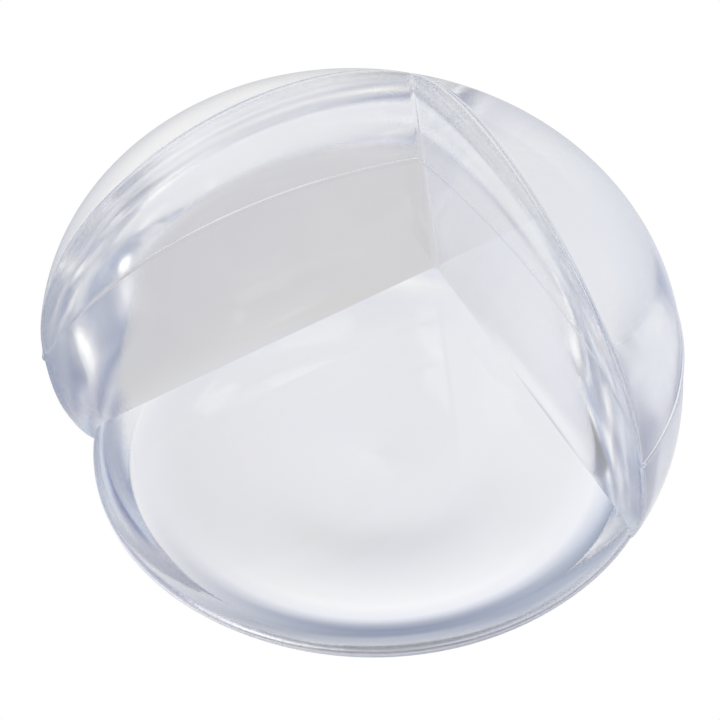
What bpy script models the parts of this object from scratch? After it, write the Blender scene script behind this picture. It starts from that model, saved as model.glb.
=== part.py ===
"""A clear corner protector for furniture, moulded in one piece.

It is a squashed ball with a flat base. A square notch is cut down into it, so that a table
corner sits on the notch's floor, between its two upright walls. The notch opens towards -Y
and upwards. The origin is the middle of the flat base, and +Z is up.
"""

import math

import bmesh
import bpy
from mathutils import Matrix

MM = 0.001

# The ball
BODY_WIDTH = 33.0 * MM  # left to right at the equator, without the parting line
BODY_DEPTH = 29.5 * MM  # front to back at the equator, if the ball were whole
EQUATOR_HEIGHT = 9.9 * MM  # the widest level, above the base
DOME_RISE = 13.5 * MM  # from the equator to the whole ball's top
DOME_ROUNDNESS = 2.1  # exponent of the outline above the equator, 2 is an ellipse
UNDERSIDE_DROP = 12.9 * MM  # from the equator to the whole ball's foot
UNDERSIDE_ROUNDNESS = 2.8  # exponent of the outline below the equator
BASE_EDGE_RADIUS = 0.4 * MM  # rounding where the ball meets its flat base

# The raised parting line that the two mould halves leave round the equator
PARTING_PROUD = 0.1 * MM
PARTING_WIDTH = 0.4 * MM

# The notch
PLATE_THICKNESS = 3.2 * MM  # the notch's floor, above the base
WALL_OFFSET = 8.3 * MM  # from the ball's axis to each upright wall
CREASE_RADIUS = 0.25 * MM  # rounding of the corner between the two walls
RIM_RADIUS = 0.8 * MM  # rounding of the plate's open edge

# The material
PLASTIC_COLOUR = (0.86, 0.88, 0.92, 0.35)
PLASTIC_ROUGHNESS = 0.05
PLASTIC_REFRACTION = 1.5

# How finely the curves are divided
TURN_STEPS = 80
DOME_STEPS = 14
UNDERSIDE_STEPS = 9
EDGE_STEPS = 4
RIM_STEPS = 6
CREASE_STEPS = 4
MERGE_DISTANCE = 0.01 * MM

# Where the rim's rounding leaves the plate, below its own centre's level
RIM_END_ANGLE = math.radians(-15)
# How far the cutters reach past the ball
CUTTER_MARGIN = 6.0 * MM
LIP_DROP = 0.5 * MM


def ball_radius(height):
    """The ball's radius, on its wide axis, at a height above the base."""
    rise = height - EQUATOR_HEIGHT
    if rise > 0:
        reach, power = DOME_RISE, DOME_ROUNDNESS
    else:
        reach, power = UNDERSIDE_DROP, UNDERSIDE_ROUNDNESS
    share = min(abs(rise) / reach, 1.0)
    return BODY_WIDTH / 2 * (1 - share**power) ** (1 / power)


def arc(centre, radius, start, end, steps):
    """Points of an arc in the profile's plane, from the start angle to the end angle."""
    points = []
    for step in range(steps + 1):
        angle = start + (end - start) * step / steps
        across = centre[0] + radius * math.cos(angle)
        up = centre[1] + radius * math.sin(angle)
        points.append((across, up))
    return points


def dome_profile():
    """From the top of the whole ball down to the parting line."""
    lowest = PARTING_WIDTH / 2 / DOME_RISE
    points = [(0.0, EQUATOR_HEIGHT + DOME_RISE)]
    for step in range(1, DOME_STEPS + 1):
        angle = math.pi / 2 * (1 - step / DOME_STEPS)
        height = EQUATOR_HEIGHT + DOME_RISE * max(math.sin(angle), lowest)
        points.append((ball_radius(height), height))
    return points


def parting_profile():
    """The crest of the parting line, a bead with a flat top."""
    crest = BODY_WIDTH / 2 + PARTING_PROUD
    half = PARTING_WIDTH / 4
    return [(crest, EQUATOR_HEIGHT + half), (crest, EQUATOR_HEIGHT - half)]


def underside_profile():
    """From the parting line down to the middle of the flat base."""
    top = EQUATOR_HEIGHT - PARTING_WIDTH / 2
    # The base edge is an arc that ends flat on the base and starts on the ball.
    start = math.radians(-45)
    join = BASE_EDGE_RADIUS * (1 + math.sin(start))
    centre = ball_radius(join) - BASE_EDGE_RADIUS * math.cos(start)
    points = []
    for step in range(UNDERSIDE_STEPS):
        height = top + (join - top) * step / UNDERSIDE_STEPS
        points.append((ball_radius(height), height))
    points += arc((centre, BASE_EDGE_RADIUS), BASE_EDGE_RADIUS, start, -math.pi / 2, EDGE_STEPS)
    points.append((0.0, 0.0))
    return points


def plate_top_profile():
    """The space over the plate, from above the ball down to the middle of the notch's floor."""
    far = BODY_WIDTH / 2 + CUTTER_MARGIN
    high = EQUATOR_HEIGHT + DOME_RISE + CUTTER_MARGIN
    level = PLATE_THICKNESS - RIM_RADIUS
    join = level + RIM_RADIUS * math.sin(RIM_END_ANGLE)
    centre = ball_radius(join) - RIM_RADIUS * math.cos(RIM_END_ANGLE)
    rounding = arc((centre, level), RIM_RADIUS, RIM_END_ANGLE, math.pi / 2, RIM_STEPS)
    lip = (rounding[0][0] - LIP_DROP * math.tan(-RIM_END_ANGLE), join - LIP_DROP)
    return [(0.0, high), (far, high), (far, lip[1]), lip, *rounding, (0.0, PLATE_THICKNESS)]


def turned(name, profile):
    """A closed solid turned from a profile, then drawn in from front to back."""
    mesh = bpy.data.meshes.new(name + "_profile")
    corners = [(across, 0.0, up) for across, up in profile]
    edges = [(step, step + 1) for step in range(len(corners) - 1)]
    mesh.from_pydata(corners, edges, [])
    sketch = bpy.data.objects.new(name + "_profile", mesh)
    bpy.context.scene.collection.objects.link(sketch)
    screw = sketch.modifiers.new("turn", "SCREW")
    screw.steps = TURN_STEPS
    screw.render_steps = TURN_STEPS
    screw.use_merge_vertices = True
    screw.merge_threshold = MERGE_DISTANCE
    seen = sketch.evaluated_get(bpy.context.evaluated_depsgraph_get())
    solid = bpy.data.meshes.new_from_object(seen)
    solid.name = name
    solid.transform(Matrix.Diagonal((1.0, BODY_DEPTH / BODY_WIDTH, 1.0, 1.0)))
    bpy.data.objects.remove(sketch)
    bpy.data.meshes.remove(mesh)
    return bpy.data.objects.new(name, solid)


def notch_corner():
    """A tall square post whose rounded corner is the corner between the notch's walls."""
    side = 2 * (BODY_WIDTH + CUTTER_MARGIN)
    shape = bmesh.new()
    bmesh.ops.create_cube(shape, size=side)
    bmesh.ops.translate(shape, verts=shape.verts, vec=(side / 2, side / 2, 0.0))
    crease = [edge for edge in shape.edges if all(v.co.xy.length < side / 4 for v in edge.verts)]
    bmesh.ops.bevel(
        shape,
        geom=crease,
        offset=CREASE_RADIUS,
        offset_type="OFFSET",
        segments=CREASE_STEPS,
        profile=0.5,
        affect="EDGES",
    )
    # The post's corner points to +Y, so that the notch opens towards -Y.
    back = WALL_OFFSET * math.sqrt(2)
    shape.transform(Matrix.Translation((0.0, back, 0.0)) @ Matrix.Rotation(math.radians(-135), 4, "Z"))
    mesh = bpy.data.meshes.new("notch_corner")
    shape.to_mesh(mesh)
    shape.free()
    return bpy.data.objects.new("notch_corner", mesh)


def clear_plastic():
    """Clear soft plastic with a faint cool tint."""
    material = bpy.data.materials.new("clear_plastic")
    material.use_nodes = True
    shader = material.node_tree.nodes["Principled BSDF"]
    shader.inputs["Base Color"].default_value = (*PLASTIC_COLOUR[:3], 1.0)
    shader.inputs["Alpha"].default_value = PLASTIC_COLOUR[3]
    shader.inputs["Roughness"].default_value = PLASTIC_ROUGHNESS
    shader.inputs["Metallic"].default_value = 0.0
    shader.inputs["IOR"].default_value = PLASTIC_REFRACTION
    shader.inputs["Transmission Weight"].default_value = 1.0
    material.diffuse_color = PLASTIC_COLOUR
    return material


def collection(name):
    """A new collection under the scene's own."""
    made = bpy.data.collections.new(name)
    bpy.context.scene.collection.children.link(made)
    return made


def boolean(target, other, operation):
    """Joins, cuts or crops target by another object, as a modifier that stays."""
    step = target.modifiers.new(other.name, "BOOLEAN")
    step.object = other
    step.operation = operation
    step.solver = "EXACT"


def main():
    for old in list(bpy.data.objects):
        bpy.data.objects.remove(old)

    parts = collection("corner_protector_parts")
    cutters = collection("cutters")

    # The notch is the space over the plate, cropped to the square post.
    post = notch_corner()
    notch = turned("notch", plate_top_profile())
    for cutter in (post, notch):
        cutters.objects.link(cutter)
        cutter.hide_render = True
        cutter.display_type = "WIRE"
    boolean(notch, post, "INTERSECT")

    body = turned("corner_protector", dome_profile() + parting_profile() + underside_profile())
    parts.objects.link(body)
    body.data.materials.append(clear_plastic())
    body.data.shade_smooth()
    body.data.set_sharp_from_angle(angle=math.radians(30))
    boolean(body, notch, "DIFFERENCE")


main()
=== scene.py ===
"""The looks of a clear, soft plastic corner protector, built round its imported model."""

import math

import bmesh
import bpy
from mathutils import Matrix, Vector


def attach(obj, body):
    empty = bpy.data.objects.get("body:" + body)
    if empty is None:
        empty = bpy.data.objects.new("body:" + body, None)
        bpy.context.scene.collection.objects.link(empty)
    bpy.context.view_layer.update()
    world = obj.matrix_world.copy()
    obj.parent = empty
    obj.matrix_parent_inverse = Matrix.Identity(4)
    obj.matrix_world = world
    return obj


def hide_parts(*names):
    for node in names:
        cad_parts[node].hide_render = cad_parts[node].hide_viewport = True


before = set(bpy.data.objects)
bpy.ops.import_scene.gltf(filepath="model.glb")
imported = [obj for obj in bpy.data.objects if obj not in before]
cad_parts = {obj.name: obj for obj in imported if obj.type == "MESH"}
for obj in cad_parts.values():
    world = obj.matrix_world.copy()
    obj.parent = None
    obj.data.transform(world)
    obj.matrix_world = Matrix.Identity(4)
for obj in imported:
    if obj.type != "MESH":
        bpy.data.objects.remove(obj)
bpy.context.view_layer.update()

MM = 0.001

# The ball, the same sizes as the part's own source
BODY_WIDTH = 33.0 * MM
BODY_DEPTH = 29.5 * MM
EQUATOR_HEIGHT = 9.9 * MM
DOME_RISE = 13.5 * MM
DOME_ROUNDNESS = 2.1
UNDERSIDE_DROP = 12.9 * MM
UNDERSIDE_ROUNDNESS = 2.8
BASE_EDGE_RADIUS = 0.4 * MM
PARTING_PROUD = 0.1 * MM
PARTING_WIDTH = 0.4 * MM
PARTING_ROUNDNESS = 0.8
PLATE_THICKNESS = 3.2 * MM
WALL_OFFSET = 8.3 * MM
RIM_RADIUS = 0.8 * MM
RIM_END_ANGLE = math.radians(-15)
CREASE_RADIUS = 0.25 * MM
# The base's edge is round from this turn down to the flat base
BASE_EDGE_TURN = math.radians(-45)
# The small rounding that the walls' outer edges have, the height above the rim over which it
# runs out, and how far from the crease it turns from straight down to along the wall
EDGE_ROUNDING = 0.35 * MM
ROUNDING_RUN_OUT = 3.0 * MM
CREASE_BLEND = 1.5 * MM
# Edges that turn more than this stay sharp, and points nearer than this become one
SHARP_EDGE = math.radians(35)
MERGE_DISTANCE = 0.0002 * MM

HALF_WIDTH = BODY_WIDTH / 2
PLAN_SQUASH = BODY_DEPTH / BODY_WIDTH
# The centre of the rounding between the two walls stands over this point of the plan
CREASE_Y = (WALL_OFFSET - CREASE_RADIUS) * math.sqrt(2)
QUARTER_TURN = math.radians(90)
RIGHT_WALL = math.radians(-45)
LEFT_WALL = math.radians(225)

# The photograph's viewpoint: place and clipping distances in metres, turn in degrees, and lens
# and sensor in millimetres
CAMERA_PLACE = (0.05326, -0.12058, 0.16839)
CAMERA_TURN = (39.312, 5.578, 17.090)
CAMERA_LENS = 202.11
CAMERA_SENSOR = 36.0
CAMERA_CLIP = (0.01, 10.0)

# The sides of the part: the angle of each in the plan
SIDES = {name: math.radians(angle) for name, angle in (
    ("right", 22), ("back", 112), ("left", 202), ("front", 292)
)}
# The light is described by soft tones that the plastic bends and reflects. Each side has a ramp
# of tones, and the sides blend into each other all round. The tones weren't chosen by hand: a
# least-squares fit of this view to the photograph's colours worked them out, but for the three
# at 12.4, 12.9 and 13.6 on the table's front side, which were lightened afterwards.
# The table's tone on each side, by the distance from the part's middle in millimetres. These
# tones are painted light and shade: a painted shadow ring round the base's edge, a painted
# shadow behind the part and lighter painted rings, which only the plastic's rays see
FLOOR_PAINTED_LIGHT_AND_SHADE = {
    "right": (
        (0.0, (0.83, 0.84, 0.86)), (10.0, (0.87, 0.88, 0.90)), (11.4, (0.92, 0.94, 0.98)),
        (12.2, (1.04, 1.03, 1.06)), (12.6, (0.72, 0.78, 0.89)), (13.1, (0.24, 0.32, 0.45)),
        (13.6, (0.14, 0.16, 0.27)), (14.5, (0.87, 0.87, 0.90)), (16.0, (0.93, 0.94, 0.97)),
        (18.0, (0.77, 0.78, 0.85)), (25.0, (0.85, 0.87, 0.97)), (45.0, (0.43, 0.53, 0.75)),
        (200.0, (0.39, 0.53, 0.79)),
    ),
    "back": (
        (0.0, (0.86, 0.86, 0.89)), (9.0, (0.84, 0.85, 0.86)), (12.2, (0.79, 0.80, 0.85)),
        (13.1, (0.97, 0.96, 0.93)), (13.6, (0.97, 0.99, 1.03)), (14.5, (0.65, 0.65, 0.75)),
        (16.0, (0.67, 0.66, 0.66)), (25.0, (0.65, 0.64, 0.66)), (45.0, (0.61, 0.61, 0.61)),
        (200.0, (0.67, 0.63, 0.56)),
    ),
    "left": (
        (0.0, (0.89, 0.89, 0.92)), (7.0, (0.83, 0.83, 0.85)), (10.5, (0.78, 0.79, 0.81)),
        (12.3, (0.82, 0.82, 0.86)), (13.1, (0.80, 0.81, 0.86)), (13.6, (0.97, 0.96, 0.93)),
        (14.5, (0.78, 0.79, 0.80)), (18.0, (0.64, 0.64, 0.67)), (25.0, (0.38, 0.40, 0.50)),
        (200.0, (0.50, 0.45, 0.50)),
    ),
    "front": (
        (0.0, (0.89, 0.89, 0.91)), (4.5, (0.85, 0.85, 0.87)), (6.6, (0.73, 0.73, 0.75)),
        (9.0, (0.85, 0.85, 0.87)), (11.2, (1.00, 1.00, 1.00)), (12.1, (0.80, 0.82, 0.91)),
        (12.4, (0.25, 0.29, 0.40)), (12.9, (0.38, 0.42, 0.50)), (13.6, (0.32, 0.38, 0.50)),
        (14.5, (0.86, 0.87, 0.86)), (16.0, (1.01, 0.99, 0.97)), (18.0, (0.93, 0.90, 0.85)),
        (20.5, (0.50, 0.49, 0.53)), (25.0, (0.14, 0.14, 0.26)), (45.0, (0.18, 0.23, 0.41)),
        (200.0, (0.72, 0.84, 0.97)),
    ),
}
FLOOR_REACH = 200.0
# The room's tone on each side, by the angle above the horizon in degrees
ROOM_TONES = {
    "right": (
        (0.0, (0.70, 0.73, 0.84)), (6.0, (0.71, 0.75, 0.81)), (14.0, (0.64, 0.63, 0.65)),
        (24.0, (0.51, 0.52, 0.59)), (50.0, (0.85, 0.83, 0.86)), (65.0, (0.83, 0.84, 0.88)),
        (90.0, (0.85, 0.85, 0.91)),
    ),
    "back": (
        (0.0, (0.14, 0.14, 0.23)), (14.0, (0.14, 0.14, 0.14)), (36.0, (0.14, 0.14, 0.29)),
        (50.0, (0.35, 0.37, 0.56)), (65.0, (0.87, 0.88, 0.98)), (90.0, (0.86, 0.86, 0.98)),
    ),
    "left": (
        (0.0, (0.96, 1.01, 1.03)), (14.0, (0.62, 0.67, 0.76)), (24.0, (0.45, 0.47, 0.57)),
        (36.0, (0.14, 0.14, 0.20)), (50.0, (0.14, 0.14, 0.14)), (65.0, (0.14, 0.14, 0.17)),
        (90.0, (0.14, 0.14, 0.14)),
    ),
    "front": (
        (0.0, (0.96, 0.94, 0.90)), (6.0, (0.70, 0.70, 0.73)), (14.0, (0.17, 0.20, 0.35)),
        (24.0, (0.14, 0.14, 0.33)), (36.0, (0.29, 0.38, 0.57)), (50.0, (0.45, 0.55, 0.74)),
        (65.0, (0.62, 0.71, 0.88)), (90.0, (0.70, 0.77, 0.96)),
    ),
}
ROOM_REACH = 90.0

# The table and the room for the camera's own rays, and for the rays that the plastic neither
# reflects nor bends
WHITE = (1.0, 1.0, 1.0, 1.0)
PLAIN_TONE = (0.8, 0.8, 0.82, 1.0)
# Half the table's side in metres, and the gap that keeps it clear of the base
TABLE_HALF = 3.0
TABLE_GAP = 0.02 * MM

# Each soft lamp: its shape, size in metres, side and height in degrees, watts and colour
SOFTBOXES = {
    "overhead_softbox": ("DISK", (0.7, 0.7), 254, 77, 1.3, (1.0, 0.95, 0.78)),
    "side_softbox": ("DISK", (0.5, 0.5), 162, 38, 0.7, (1.0, 0.98, 0.9)),
    "right_softbox": ("DISK", (0.4, 0.4), 345, 31, 0.55, (1.0, 0.96, 0.8)),
    "low_softbox": ("RECTANGLE", (0.6, 0.3), 315, 12, 0.45, (1.0, 0.98, 0.9)),
}
# Light that bounces many times inside the ball is lost with fewer bounces than this
LIGHT_BOUNCES = 32

# The plastic's surface. The skin starts and is full at these shares of the ball's size
REFRACTION = 1.5
SKIN_RANGE = (0.95, 0.985)
FACE_ROUGHNESS = 0.03
SKIN_ROUGHNESS = 0.1
DULL_ROUGHNESS = 0.16
SCUFF_ROUGHNESS = 0.05
WAVE_HEIGHT = 0.012 * MM
STREAK_SHARE = 0.6
# How fast the streaks change up the ball, and how much of the waves the flat faces have
STREAK_RISE = 0.12
FACE_WAVES = 0.12
# The scale and the detail of each pattern, and the ranges of its values that show
STREAKS = (11.0, 2.0)
SWELLS = (170.0, 1.0)
PATCHES, PATCH_RANGE = (260.0, 3.0), (0.35, 0.75)
SCUFFS, SCUFF_RANGE = (2400.0, 6.0), (0.6, 0.75)
CLOUDS, CLOUD_RANGE = (130.0, 4.0), (0.3, 0.8)
CLOUD_TINT = (0.965, 0.975, 0.985, 1.0)

# How finely the smooth body is divided
BACK_COLUMNS = 270
CREASE_SKIP = 15
EDGE_STEPS = 8
FRONT_COLUMNS = 120
DOME_ROWS = 90
LOWER_ROWS = 26
UNDERSIDE_ROWS = 22
ROUNDING_ROWS = 10
PARTING_LEVELS = (0.5, 0.3, 0.15, 0.0, -0.15, -0.3, -0.5)
# The dome's rows fan out from a point this far along each column, and a column's angle is
# first taken at this many times its offset from the wall
FAN_SHARE = 0.4
FIRST_REACH = 4
# How often a column's angle and distance are found from each other, and a ray is halved
ANGLE_PASSES = 2
CIRCLE_PASSES = 8
HALVINGS = 32


def reach_and_power(rise):
    """The size and the exponent of the ball's outline above or below its equator."""
    if rise > 0:
        return DOME_RISE, DOME_ROUNDNESS
    return UNDERSIDE_DROP, UNDERSIDE_ROUNDNESS


def ball_radius(height):
    """The ball's radius, on its wide axis, at a height above the base."""
    rise = height - EQUATOR_HEIGHT
    reach, power = reach_and_power(rise)
    share = min(abs(rise) / reach, 1.0)
    return HALF_WIDTH * (1 - share**power) ** (1 / power)


def inside_ball(across, height):
    """Whether a point at a radius on the wide axis, and a height, lies in the whole ball."""
    rise = height - EQUATOR_HEIGHT
    reach, power = reach_and_power(rise)
    return (across / HALF_WIDTH) ** power + (abs(rise) / reach) ** power < 1


def plan_point(distance, angle):
    """A point of the plan at a distance and an angle from the centre of the crease's rounding."""
    return distance * math.cos(angle), CREASE_Y + distance * math.sin(angle)


def wide_radius(x, y):
    """The radius, on the wide axis, of the squashed circle through a point of the plan."""
    return math.hypot(x, y / PLAN_SQUASH)


def height_at(x, y):
    """The dome's height over a point of the plan."""
    share = wide_radius(x, y) / HALF_WIDTH
    return EQUATOR_HEIGHT + DOME_RISE * (1 - share**DOME_ROUNDNESS) ** (1 / DOME_ROUNDNESS)


def ball_normal(point):
    """The way that the ball's surface faces at a point on it."""
    x, y, height = point
    rise = height - EQUATOR_HEIGHT
    reach, power = reach_and_power(rise)
    across = wide_radius(x, y)
    level = power * (across / HALF_WIDTH) ** (power - 1) / HALF_WIDTH / across
    upright = math.copysign(power * (abs(rise) / reach) ** (power - 1) / reach, rise)
    return Vector((level * x, level * y / PLAN_SQUASH**2, upright)).normalized()


def distance_to_circle(radius, angle):
    """How far from the crease, at an angle, the squashed circle of a radius lies."""
    cos, sin = math.cos(angle), math.sin(angle) / PLAN_SQUASH
    start = CREASE_Y / PLAN_SQUASH
    a = cos * cos + sin * sin
    b = start * sin
    c = start * start - radius * radius
    return (-b + math.sqrt(b * b - a * c)) / a


def smooth_step(share):
    """A soft rise from 0 to 1."""
    share = min(max(share, 0.0), 1.0)
    return share * share * (3 - 2 * share)


def rim_end():
    """The height at which the rounded rim meets the ball, and its arc's centre and level."""
    level = PLATE_THICKNESS - RIM_RADIUS
    height = level + RIM_RADIUS * math.sin(RIM_END_ANGLE)
    centre = ball_radius(height) - RIM_RADIUS * math.cos(RIM_END_ANGLE)
    return height, centre, level


def edge_rounding(height):
    """The size of the rounding on the walls' outer edges, which runs out towards the rim."""
    return EDGE_ROUNDING * smooth_step((height - rim_end()[0]) / ROUNDING_RUN_OUT)


def back_angle(share, distance, offset):
    """The angle, at a distance from the crease, of a column between the right and left walls."""
    inset = math.asin(min(offset / distance, 1.0))
    first = RIGHT_WALL + inset
    return first + (LEFT_WALL - inset - first) * share


def circle_point(share, radius, height, offset):
    """Where a column meets a level circle of the ball."""
    distance = HALF_WIDTH
    for _ in range(CIRCLE_PASSES):
        angle = back_angle(share, distance, offset)
        distance = distance_to_circle(radius, angle)
    return (*plan_point(distance, angle), height)


def front_point(share, radius, height):
    """A point on a level circle across the open front, from the left wall to the right one."""
    x, y, _ = circle_point(0.0, radius, height, CREASE_RADIUS)
    inset = math.asin(CREASE_RADIUS / math.hypot(x, y - CREASE_Y))
    angle = LEFT_WALL - inset + (QUARTER_TURN + 2 * inset) * share
    return (*plan_point(distance_to_circle(radius, angle), angle), height)


def ray_to_ball(start, slope, angle):
    """The distance at which a ray in an upright plane through the crease leaves the ball."""
    low, high = 0.0, BODY_WIDTH
    for _ in range(HALVINGS):
        middle = (low + high) / 2
        place = plan_point(start[0] + middle * math.cos(slope), angle)
        if inside_ball(wide_radius(*place), start[1] + middle * math.sin(slope)):
            low = middle
        else:
            high = middle
    return start[0] + low * math.cos(slope)


def parting_rise(level):
    """How far the parting line stands proud, at a level counted in its widths."""
    return PARTING_PROUD * max(0.0, math.cos(math.pi * level)) ** PARTING_ROUNDNESS


def upper_column(share):
    """Points of one column from the crease's top over the dome, down to the rim's level."""
    offset = CREASE_RADIUS + EDGE_ROUNDING
    upper = EQUATOR_HEIGHT + PARTING_WIDTH / 2
    place = plan_point(offset, back_angle(share, offset, offset))
    points = [(*place, height_at(*place))]
    angle = back_angle(share, offset * FIRST_REACH, offset)
    for row in range(1, DOME_ROWS):
        for _ in range(ANGLE_PASSES):
            edge = distance_to_circle(ball_radius(upper), angle)
            middle = (edge * FAN_SHARE, EQUATOR_HEIGHT)
            first = math.atan2(points[0][2] - middle[1], offset - middle[0])
            last = math.atan2(upper - middle[1], edge - middle[0])
            distance = ray_to_ball(middle, first + (last - first) * row / DOME_ROWS, angle)
            angle = back_angle(share, distance, offset)
        place = plan_point(distance, angle)
        points.append((*place, height_at(*place)))
    for level in PARTING_LEVELS:
        height = EQUATOR_HEIGHT + level * PARTING_WIDTH
        radius = ball_radius(height) + parting_rise(level)
        points.append(circle_point(share, radius, height, offset))
    lower = EQUATOR_HEIGHT - PARTING_WIDTH / 2
    for row in range(1, LOWER_ROWS + 1):
        height = lower + (rim_end()[0] - lower) * row / LOWER_ROWS
        offset = CREASE_RADIUS + edge_rounding(height)
        points.append(circle_point(share, ball_radius(height), height, offset))
    return points


def underside_column(start):
    """Points of one column from the rim's level down and round to the flat base."""
    join = rim_end()[0]
    foot = BASE_EDGE_RADIUS * (1 + math.sin(BASE_EDGE_TURN))
    centre = ball_radius(foot) - BASE_EDGE_RADIUS * math.cos(BASE_EDGE_TURN)
    rows = []
    for row in range(1, UNDERSIDE_ROWS + 1):
        height = join + (foot - join) * row / UNDERSIDE_ROWS
        rows.append((ball_radius(height), height))
    for row in range(1, ROUNDING_ROWS + 1):
        turn = BASE_EDGE_TURN + (-QUARTER_TURN - BASE_EDGE_TURN) * row / ROUNDING_ROWS
        radius = centre + BASE_EDGE_RADIUS * math.cos(turn)
        rows.append((radius, BASE_EDGE_RADIUS * (1 + math.sin(turn))))
    around = math.atan2(start[1] / PLAN_SQUASH, start[0])
    across, ahead = math.cos(around), math.sin(around) * PLAN_SQUASH
    return [(radius * across, radius * ahead, height) for radius, height in rows]


def rim_column(share):
    """Points of one column over the rounded rim, from its end on the ball up to the floor."""
    _, centre, level = rim_end()
    points = []
    for row in range(1, ROUNDING_ROWS + 1):
        turn = RIM_END_ANGLE + (QUARTER_TURN - RIM_END_ANGLE) * row / ROUNDING_ROWS
        radius = centre + RIM_RADIUS * math.cos(turn)
        points.append(front_point(share, radius, level + RIM_RADIUS * math.sin(turn)))
    return points


def edge_curve(point, facing, along):
    """The rounding from a point of the dome's boundary over to the wall that faces it.

    The wall faces away from the level direction given by its angle, and along is the
    point's distance from the crease.
    """
    point = Vector(point)
    size = edge_rounding(point.z)
    way = Vector((-math.cos(facing), -math.sin(facing), 0.0))
    normal = ball_normal(point)
    share = smooth_step(along / CREASE_BLEND)
    slide = way - normal * way.dot(normal)
    slide /= slide.dot(way)
    if share < 1:
        straight = way - Vector((0.0, 0.0, normal.dot(way) / normal.z))
        slide = straight * (1 - share) + slide * share
    corner = point + slide * size
    inward = -(normal - way * normal.dot(way)).normalized()
    down = (Vector((0.0, 0.0, -1.0)) * (1 - share) + inward * share).normalized()
    end = corner + down * size
    shares = [step / EDGE_STEPS for step in range(1, EDGE_STEPS + 1)]
    return [point * (1 - t) ** 2 + corner * (2 * t * (1 - t)) + end * t**2 for t in shares]


def strip(shape, left, right):
    """Quads between two columns of vertices."""
    for (upper, across), (lower, opposite) in zip(zip(left, right), zip(left[1:], right[1:])):
        shape.faces.new((upper, lower, opposite, across))


def body_mesh():
    """The whole guard as one closed surface, in columns round the crease."""
    shape = bmesh.new()

    def verts(points):
        return [shape.verts.new(point) for point in points]

    shares = [column / BACK_COLUMNS for column in range(BACK_COLUMNS + 1)]
    front = [column / FRONT_COLUMNS for column in range(FRONT_COLUMNS + 1)]
    upper = [verts(upper_column(share)) for share in shares]
    join = rim_end()[0]
    joins = verts(front_point(share, ball_radius(join), join) for share in front[1:-1])
    starts = [column[-1] for column in upper] + joins
    lower = [verts(underside_column(start.co)) for start in starts]
    rims = [verts(rim_column(share)) for share in front]

    # The dome and the back
    for left, right in zip(upper, upper[1:]):
        strip(shape, left, right)
    # The underside, all the way round
    full = [[start, *column] for start, column in zip(starts, lower)]
    for left, right in zip(full, full[1:] + full[:1]):
        strip(shape, left, right)
    shape.faces.new([column[-1] for column in lower])
    # The rounded rim
    bases = [upper[-1][-1], *joins, upper[0][-1]]
    rounded = [[base, *column] for base, column in zip(bases, rims)]
    for left, right in zip(rounded, rounded[1:]):
        strip(shape, left, right)
    # The rounding of the walls' outer edges and of the crease's top
    facings = [QUARTER_TURN / 2 + QUARTER_TURN * share for share in shares]
    boundary = [(vert, facings[0]) for vert in reversed(upper[0])]
    boundary += [(column[0], facing) for column, facing in zip(upper[1:-1], facings[1:-1])]
    boundary += [(vert, facings[-1]) for vert in upper[-1]]
    curves = []
    for vert, facing in boundary:
        along = Vector((vert.co.x, vert.co.y - CREASE_Y)).length - CREASE_RADIUS - EDGE_ROUNDING
        curves.append([vert, *verts(edge_curve(vert.co, facing, along))])
    for left, right in zip(curves, curves[1:]):
        strip(shape, left, right)
    # The crease's own rounding, and the notch's floor
    crease = [curve[-1] for curve in curves[len(upper[0]) - 1 : len(curves) - len(upper[-1]) + 1]]
    feet = []
    for facing in facings[::CREASE_SKIP]:
        feet.append(shape.verts.new((*plan_point(CREASE_RADIUS, facing), PLATE_THICKNESS)))
    for index, (left, right) in enumerate(zip(feet, feet[1:])):
        top = crease[index * CREASE_SKIP : (index + 1) * CREASE_SKIP + 1]
        shape.faces.new([left, right, *reversed(top)])
    shape.faces.new([*feet, *[column[-1] for column in rims]])
    # The two walls
    right_edge = [curve[-1] for curve in curves[: len(upper[0])]]
    left_edge = [curve[-1] for curve in curves[len(curves) - len(upper[-1]) :]]
    shape.faces.new([*right_edge, feet[0], *reversed(rounded[-1][1:])])
    shape.faces.new([*left_edge, *rounded[0][1:], feet[-1]])
    bmesh.ops.remove_doubles(shape, verts=shape.verts, dist=MERGE_DISTANCE)
    bmesh.ops.recalc_face_normals(shape, faces=shape.faces)
    mesh = bpy.data.meshes.new("clear_body")
    shape.to_mesh(mesh)
    shape.free()
    return mesh


def shade(mesh):
    """Smooth shading everywhere but on the few sharp edges."""
    shape = bmesh.new()
    shape.from_mesh(mesh)
    for face in shape.faces:
        face.smooth = len(face.verts) <= 4
    for edge in shape.edges:
        edge.smooth = edge.calc_face_angle(0.0) < SHARP_EDGE
    shape.to_mesh(mesh)
    shape.free()


class Tree:
    """A short way to write a material's or the world's nodes."""

    def __init__(self, owner):
        owner.use_nodes = True
        self.nodes, self.links = owner.node_tree.nodes, owner.node_tree.links

    def node(self, kind, inputs=None, **settings):
        """A node with its settings, whose inputs are linked to sockets or set to values."""
        node = self.nodes.new(kind)
        for name, value in settings.items():
            setattr(node, name, value)
        for name, value in (inputs or {}).items():
            if isinstance(value, bpy.types.NodeSocket):
                self.links.new(value, node.inputs[name])
            else:
                node.inputs[name].default_value = value
        return node

    def math(self, operation, *values):
        """The result of one sum."""
        return self.node("ShaderNodeMath", dict(enumerate(values)), operation=operation).outputs[0]

    def vector(self, operation, *values, output=0):
        """The result of one sum of vectors."""
        inputs = dict(enumerate(values))
        return self.node("ShaderNodeVectorMath", inputs, operation=operation).outputs[output]

    def noise(self, place, scale, detail):
        """A cloud of values from 0 to 1."""
        inputs = {"Vector": place, "Scale": scale, "Detail": detail}
        return self.node("ShaderNodeTexNoise", inputs).outputs[0]

    def between(self, value, low, high, first=0.0, last=1.0):
        """A value turned from one range into another, softly, and held there."""
        inputs = {"Value": value, 1: low, 2: high, 3: first, 4: last}
        settings = {"interpolation_type": "SMOOTHSTEP"}
        return self.node("ShaderNodeMapRange", inputs, **settings).outputs[0]


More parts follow.
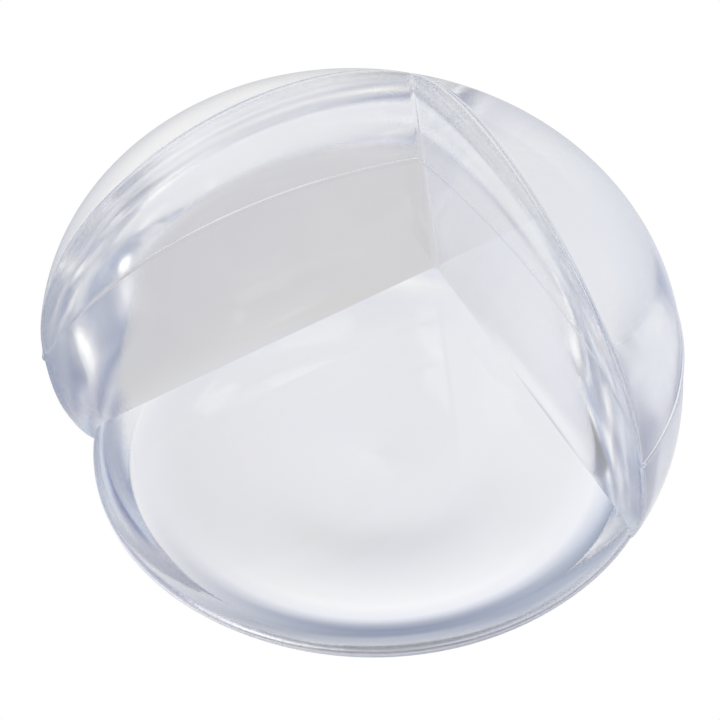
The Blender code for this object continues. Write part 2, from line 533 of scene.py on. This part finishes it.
def clear_plastic():
    """Clear, soft plastic, with the faint waves and handling marks of a moulded surface."""
    material = bpy.data.materials.new("clear_plastic")
    tree = Tree(material)
    shader = tree.nodes["Principled BSDF"]
    place = tree.node("ShaderNodeTexCoord").outputs["Object"]
    # The ball's outer skin is a little duller than the notch's flat faces
    centred = tree.vector("SUBTRACT", place, (0.0, 0.0, EQUATOR_HEIGHT))
    halves = (1 / HALF_WIDTH, 1 / HALF_WIDTH / PLAN_SQUASH, 1 / DOME_RISE)
    share = tree.vector("LENGTH", tree.vector("MULTIPLY", centred, halves), output=1)
    skin = tree.between(share, *SKIN_RANGE)
    # Waves that run up the skin, as the mould leaves them, over broader ones
    level = tree.vector("MULTIPLY", centred, (*halves[:2], 0.0))
    upright = tree.vector("MULTIPLY", centred, (0.0, 0.0, STREAK_RISE * halves[2]))
    drawn = tree.vector("ADD", tree.vector("NORMALIZE", level), upright)
    streaks = tree.noise(drawn, *STREAKS)
    swells = tree.noise(place, *SWELLS)
    waves = tree.math("MULTIPLY_ADD", streaks, STREAK_SHARE, swells)
    held = tree.math("MULTIPLY", waves, tree.between(skin, 0.0, 1.0, FACE_WAVES, 1.0))
    bump = tree.node("ShaderNodeBump", {"Distance": WAVE_HEIGHT, "Height": held})
    tree.links.new(bump.outputs[0], shader.inputs["Normal"])
    # Dull patches and fine scuffs
    dull = (SKIN_ROUGHNESS, DULL_ROUGHNESS)
    patches = tree.between(tree.noise(place, *PATCHES), *PATCH_RANGE, *dull)
    scuffs = tree.between(tree.noise(place, *SCUFFS), *SCUFF_RANGE, 0.0, SCUFF_ROUGHNESS)
    dulled = tree.math("ADD", patches, scuffs)
    mix = tree.node("ShaderNodeMix", {0: skin, 2: FACE_ROUGHNESS, 3: dulled})
    tree.links.new(mix.outputs[0], shader.inputs["Roughness"])
    # A faint cloudiness
    clouds = tree.between(tree.noise(place, *CLOUDS), *CLOUD_RANGE)
    tones = {0: clouds, 6: WHITE, 7: CLOUD_TINT}
    tint = tree.node("ShaderNodeMix", tones, data_type="RGBA")
    tree.links.new(tint.outputs[2], shader.inputs["Base Color"])
    shader.inputs["Transmission Weight"].default_value = 1.0
    shader.inputs["IOR"].default_value = REFRACTION
    return material


def four_sided_tone(tree, place, measure, sides, reach):
    """A tone that follows one ramp on each side of the part, blended all round."""
    unit = tree.vector("NORMALIZE", tree.vector("MULTIPLY", place, (1.0, 1.0, 0.0)))
    along = tree.math("DIVIDE", measure, reach)
    total = (0.0, 0.0, 0.0)
    for name, stops in sides.items():
        way = (math.cos(SIDES[name]), math.sin(SIDES[name]), 0.0)
        facing = tree.math("MAXIMUM", tree.vector("DOT_PRODUCT", unit, way, output=1), 0.0)
        ramp = tree.node("ShaderNodeValToRGB", {0: along})
        elements = ramp.color_ramp.elements
        for stop in stops[2:]:
            elements.new(stop[0] / reach)
        for element, (start, colour) in zip(elements, stops):
            element.position = start / reach
            element.color = (*colour, 1.0)
        # The squares of the cosines of the four sides add up to 1
        shown = {0: ramp.outputs[0], "Scale": tree.math("POWER", facing, 2.0)}
        part = tree.node("ShaderNodeVectorMath", shown, operation="SCALE")
        total = tree.vector("ADD", part.outputs[0], total)
    return total


def background(tree, kind, tone):
    """White for the camera; its soft tones for the rays that the plastic reflects and bends."""
    path = tree.node("ShaderNodeLightPath").outputs
    bent = tree.math("MAXIMUM", path["Is Glossy Ray"], path["Is Transmission Ray"])
    plain, toned, white = [
        tree.node(kind, {"Color": colour, "Strength": 1.0}).outputs[0]
        for colour in (PLAIN_TONE, tone, WHITE)
    ]
    unseen = tree.node("ShaderNodeMixShader", {0: bent, 1: plain, 2: toned}).outputs[0]
    shown = {0: path["Is Camera Ray"], 1: unseen, 2: white}
    return tree.node("ShaderNodeMixShader", shown).outputs[0]


def floor():
    """A table top, white and unshadowed for the camera, with painted shade for the plastic."""
    shape = bmesh.new()
    bmesh.ops.create_grid(shape, x_segments=1, y_segments=1, size=TABLE_HALF)
    mesh = bpy.data.meshes.new("table_top")
    shape.to_mesh(mesh)
    shape.free()
    piece = bpy.data.objects.new("table_top", mesh)
    piece.location.z = -TABLE_GAP
    bpy.context.scene.collection.objects.link(piece)
    material = bpy.data.materials.new("table_painted_shade")
    tree = Tree(material)
    tree.nodes.remove(tree.nodes["Principled BSDF"])
    place = tree.node("ShaderNodeTexCoord").outputs["Object"]
    oval = tree.vector("MULTIPLY", place, (1 / MM, 1 / MM / PLAN_SQUASH, 0.0))
    distance = tree.vector("LENGTH", oval, output=1)
    # Painted shade for the plastic's rays: a shadow ring round the base and one behind the part
    tone = four_sided_tone(tree, place, distance, FLOOR_PAINTED_LIGHT_AND_SHADE, FLOOR_REACH)
    shown = background(tree, "ShaderNodeEmission", tone)
    tree.links.new(shown, tree.nodes["Material Output"].inputs["Surface"])
    mesh.materials.append(material)


def studio_world():
    """A soft room, white for the camera, with pale and dark areas that the plastic shows."""
    world = bpy.data.worlds.new("studio")
    tree = Tree(world)
    tree.nodes.remove(tree.nodes["Background"])
    place = tree.node("ShaderNodeTexCoord").outputs["Generated"]
    upright = tree.node("ShaderNodeSeparateXYZ", {0: place}).outputs["Z"]
    height = tree.math("DEGREES", tree.math("ARCSINE", upright))
    tone = four_sided_tone(tree, place, height, ROOM_TONES, ROOM_REACH)
    shown = background(tree, "ShaderNodeBackground", tone)
    tree.links.new(shown, tree.nodes["World Output"].inputs["Surface"])
    bpy.context.scene.world = world


def softbox(name, shape, size, side, height, watts, colour):
    """A soft lamp a metre away, at a side angle and a height angle, that faces the part."""
    lamp = bpy.data.lights.new(name, "AREA")
    lamp.shape = shape
    lamp.size, lamp.size_y = size
    lamp.energy = watts
    lamp.color = colour
    piece = bpy.data.objects.new(name, lamp)
    side, height = math.radians(side), math.radians(height)
    flat = math.cos(height)
    piece.location = (flat * math.cos(side), flat * math.sin(side), math.sin(height))
    aim = -piece.location
    piece.rotation_euler = aim.to_track_quat("-Z", "Y").to_euler()
    bpy.context.scene.collection.objects.link(piece)


def camera():
    """The photograph's own viewpoint, fitted to the outline, the notch and the parting line."""
    lens = bpy.data.cameras.new("photo_view")
    lens.sensor_width = CAMERA_SENSOR
    lens.lens = CAMERA_LENS
    lens.clip_start, lens.clip_end = CAMERA_CLIP
    piece = bpy.data.objects.new("photo_view", lens)
    piece.location = CAMERA_PLACE
    piece.rotation_euler = [math.radians(angle) for angle in CAMERA_TURN]
    bpy.context.scene.collection.objects.link(piece)
    bpy.context.scene.camera = piece


mesh = body_mesh()
shade(mesh)
mesh.materials.append(clear_plastic())
body = bpy.data.objects.new("clear_body", mesh)
bpy.context.scene.collection.objects.link(body)
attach(body, "root")
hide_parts("corner_protector")
floor()
studio_world()
for name, settings in SOFTBOXES.items():
    softbox(name, *settings)
camera()
scene = bpy.context.scene
scene.view_settings.view_transform = "Standard"
scene.cycles.max_bounces = LIGHT_BOUNCES
scene.cycles.transmission_bounces = LIGHT_BOUNCES
scene.cycles.glossy_bounces = LIGHT_BOUNCES
